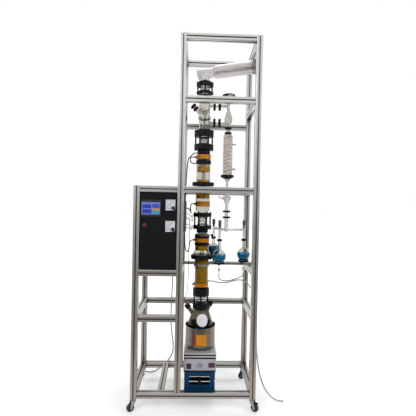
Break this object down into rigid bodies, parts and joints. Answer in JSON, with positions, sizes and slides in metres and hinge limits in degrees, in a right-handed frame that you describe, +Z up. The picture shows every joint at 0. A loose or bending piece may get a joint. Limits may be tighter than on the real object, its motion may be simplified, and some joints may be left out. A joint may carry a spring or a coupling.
{
  "type": "packed-column distillation rig",
  "caption": "Tall aluminium-profile frame on castors with a control cabinet, a bath pot on a heated stirrer and scissor jack, and a glass column, condensers and receivers.",
  "frame": {"origin": "on the floor, under the centre of the frame on its castors", "axes": "+Z up, -Y to the front where the cabinet's panel faces, +X to the right"},
  "size_m": [1.0722, 0.5326, 2.4],
  "materials": {
    "aluminium_profile": "anodised satin",
    "zinc_steel": "zinc plated",
    "castor_rubber": "matte grey",
    "black_plastic": "matte",
    "cabinet_sheet": "satin paint",
    "black_panel": "satin paint",
    "grey_plastic": "satin",
    "white_plastic": "gloss",
    "needle_metal": "painted black",
    "red_plastic": "gloss",
    "blue_paint": "gloss paint",
    "stirrer_case": "satin",
    "plate_aluminium": "brushed",
    "stainless_steel": "brushed",
    "clear_glass": "clear",
    "packing_mesh": "fine mesh",
    "heater_film": "film",
    "blue_liquid": "clear tinted liquid",
    "lead_rubber": "matte",
    "clear_hose": "translucent"
  },
  "bodies": {
    "frame": {"posts": "aluminium_profile", "lower_rails": "aluminium_profile", "upper_rails": "aluminium_profile", "castor_plates": "zinc_steel", "column_fittings": "black_plastic", "coupling_collars": "black_plastic", "cabinet_housing": "cabinet_sheet", "cabinet_panel": "black_panel", "touch_screen": "grey_plastic", "terminal_strip": "grey_plastic", "panel_bezels": "white_plastic", "jack_base": "blue_paint", "tie_rods": "stainless_steel", "support_clamps": "stainless_steel", "boiling_flask": "clear_glass", "column_glass": "clear_glass", "reflux_head": "clear_glass", "vapour_condenser": "clear_glass", "product_condenser": "clear_glass", "condenser_coil": "clear_glass", "receiver_manifold": "clear_glass", "receiver_flasks": "clear_glass", "column_packing": "packing_mesh", "heater_bands": "heater_film", "receiver_liquid": "blue_liquid", "mains_lead": "lead_rubber", "mains_plug": "lead_rubber", "heater_lead_upper": "lead_rubber", "heater_lead_middle": "lead_rubber", "heater_lead_lower": "lead_rubber", "probe_lead": "lead_rubber", "drain_hose": "clear_hose", "receiver_hose": "clear_hose"},
    "castor_fork_1": {"castor_fork_1": "zinc_steel"},
    "castor_wheel_1": {"castor_wheel_1": "castor_rubber"},
    "castor_fork_2": {"castor_fork_2": "zinc_steel"},
    "castor_wheel_2": {"castor_wheel_2": "castor_rubber"},
    "castor_fork_3": {"castor_fork_3": "zinc_steel"},
    "castor_wheel_3": {"castor_wheel_3": "castor_rubber"},
    "castor_fork_4": {"castor_fork_4": "zinc_steel"},
    "castor_wheel_4": {"castor_wheel_4": "castor_rubber"},
    "castor_brake": {"castor_brake": "black_plastic"},
    "meter_needle_1": {"meter_needle_1": "needle_metal"},
    "meter_needle_2": {"meter_needle_2": "needle_metal"},
    "stop_button": {"stop_button": "red_plastic"},
    "jack_platform": {"jack_platform": "blue_paint", "stirrer_housing": "stirrer_case", "hot_plate": "plate_aluminium", "bath_pot": "stainless_steel"},
    "jack_arms_outer": {"jack_arms_outer": "blue_paint"},
    "jack_arms_inner": {"jack_arms_inner": "blue_paint"},
    "jack_screw": {"jack_screw": "black_plastic"},
    "stirrer_knob": {"stirrer_knob": "grey_plastic"},
    "rocker_left": {"rocker_left": "red_plastic"},
    "rocker_right": {"rocker_right": "red_plastic"},
    "valve_key_1": {"valve_key_1": "grey_plastic"},
    "valve_key_2": {"valve_key_2": "grey_plastic"},
    "valve_key_3": {"valve_key_3": "grey_plastic"},
    "drain_key_1": {"drain_key_1": "white_plastic"},
    "drain_key_2": {"drain_key_2": "white_plastic"}
  },
  "joints": [
    {"name": "castor_swivel_1", "type": "hinge", "parent": "frame", "child": "castor_fork_1", "pos_m": [-0.38, -0.205, 0.0655], "axis": [0, 0, 1], "continuous": true},
    {"name": "castor_spin_1", "type": "hinge", "parent": "castor_fork_1", "child": "castor_wheel_1", "pos_m": [-0.39638, -0.21647, 0.025], "axis": [0.5736, -0.8192, 0], "continuous": true},
    {"name": "castor_swivel_2", "type": "hinge", "parent": "frame", "child": "castor_fork_2", "pos_m": [0.38, -0.205, 0.0655], "axis": [0, 0, 1], "continuous": true},
    {"name": "castor_spin_2", "type": "hinge", "parent": "castor_fork_2", "child": "castor_wheel_2", "pos_m": [0.39638, -0.21647, 0.025], "axis": [0.5736, 0.8192, 0], "continuous": true},
    {"name": "castor_swivel_3", "type": "hinge", "parent": "frame", "child": "castor_fork_3", "pos_m": [-0.38, 0.205, 0.0655], "axis": [0, 0, 1], "continuous": true},
    {"name": "castor_spin_3", "type": "hinge", "parent": "castor_fork_3", "child": "castor_wheel_3", "pos_m": [-0.39638, 0.21647, 0.025], "axis": [-0.5736, -0.8192, 0], "continuous": true},
    {"name": "castor_swivel_4", "type": "hinge", "parent": "frame", "child": "castor_fork_4", "pos_m": [0.38, 0.205, 0.0655], "axis": [0, 0, 1], "continuous": true},
    {"name": "castor_spin_4", "type": "hinge", "parent": "castor_fork_4", "child": "castor_wheel_4", "pos_m": [0.36362, 0.19353, 0.025], "axis": [0.5736, -0.8192, 0], "continuous": true},
    {"name": "castor_brake_pedal", "type": "hinge", "parent": "castor_fork_2", "child": "castor_brake", "pos_m": [0.39147, -0.21303, 0.0565], "axis": [0.5736, 0.8192, 0], "range_deg": [0, 12]},
    {"name": "meter_needle_1_swing", "type": "hinge", "parent": "frame", "child": "meter_needle_1", "pos_m": [-0.148, -0.217, 1.294], "axis": [0, 1, 0], "range_deg": [0, 90]},
    {"name": "meter_needle_2_swing", "type": "hinge", "parent": "frame", "child": "meter_needle_2", "pos_m": [-0.148, -0.217, 1.159], "axis": [0, 1, 0], "range_deg": [0, 90]},
    {"name": "stop_button_press", "type": "slide", "parent": "frame", "child": "stop_button", "axis": [0, 1, 0], "range_m": [0, 0.004], "stiffness_N_per_m": 400, "springref_m": -0.004},
    {"name": "jack_lift", "type": "slide", "parent": "frame", "child": "jack_platform", "axis": [0, 0, 1], "range_m": [-0.01, 0.03]},
    {"name": "jack_outer_swing", "type": "hinge", "parent": "frame", "child": "jack_arms_outer", "pos_m": [0.04, 0.005, 0.16], "axis": [-1, 0, 0], "range_deg": [-4.2, 11.4]},
    {"name": "jack_inner_swing", "type": "hinge", "parent": "jack_platform", "child": "jack_arms_inner", "pos_m": [0.04, 0.005, 0.193], "axis": [1, 0, 0], "range_deg": [-4.2, 11.4]},
    {"name": "jack_screw_turn", "type": "hinge", "parent": "frame", "child": "jack_screw", "pos_m": [0.04, -0.18, 0.171], "axis": [0, 1, 0], "range_deg": [-205, 605]},
    {"name": "stirrer_knob_turn", "type": "hinge", "parent": "jack_platform", "child": "stirrer_knob", "pos_m": [0.04, -0.18, 0.278], "axis": [0, 1, 0], "range_deg": [0, 270]},
    {"name": "rocker_left_tip", "type": "hinge", "parent": "jack_platform", "child": "rocker_left", "pos_m": [0.106, -0.178, 0.278], "axis": [1, 0, 0], "range_deg": [0, 16]},
    {"name": "rocker_right_tip", "type": "hinge", "parent": "jack_platform", "child": "rocker_right", "pos_m": [0.127, -0.178, 0.278], "axis": [1, 0, 0], "range_deg": [0, 16]},
    {"name": "valve_key_1_turn", "type": "hinge", "parent": "frame", "child": "valve_key_1", "pos_m": [0.157, -0.1, 1.183], "axis": [0, 0, 1], "range_deg": [0, 180]},
    {"name": "valve_key_2_turn", "type": "hinge", "parent": "frame", "child": "valve_key_2", "pos_m": [0.327, -0.045, 1.183], "axis": [0, 0, 1], "range_deg": [0, 180]},
    {"name": "valve_key_3_turn", "type": "hinge", "parent": "frame", "child": "valve_key_3", "pos_m": [0.125, 0.075, 1.183], "axis": [0, 0, 1], "range_deg": [0, 180]},
    {"name": "drain_key_1_turn", "type": "hinge", "parent": "frame", "child": "drain_key_1", "pos_m": [0.157, -0.1, 0.886], "axis": [0, 1, 0], "range_deg": [0, 90]},
    {"name": "drain_key_2_turn", "type": "hinge", "parent": "frame", "child": "drain_key_2", "pos_m": [0.327, -0.045, 0.886], "axis": [0, 1, 0], "range_deg": [0, 90]}
  ],
  "couplings": [
    {"joint": "jack_outer_swing", "follows": "jack_lift", "rad_per_m": 6.3704},
    {"joint": "jack_inner_swing", "follows": "jack_lift", "rad_per_m": 6.3704},
    {"joint": "jack_screw_turn", "follows": "jack_lift", "rad_per_m": 346}
  ]
}
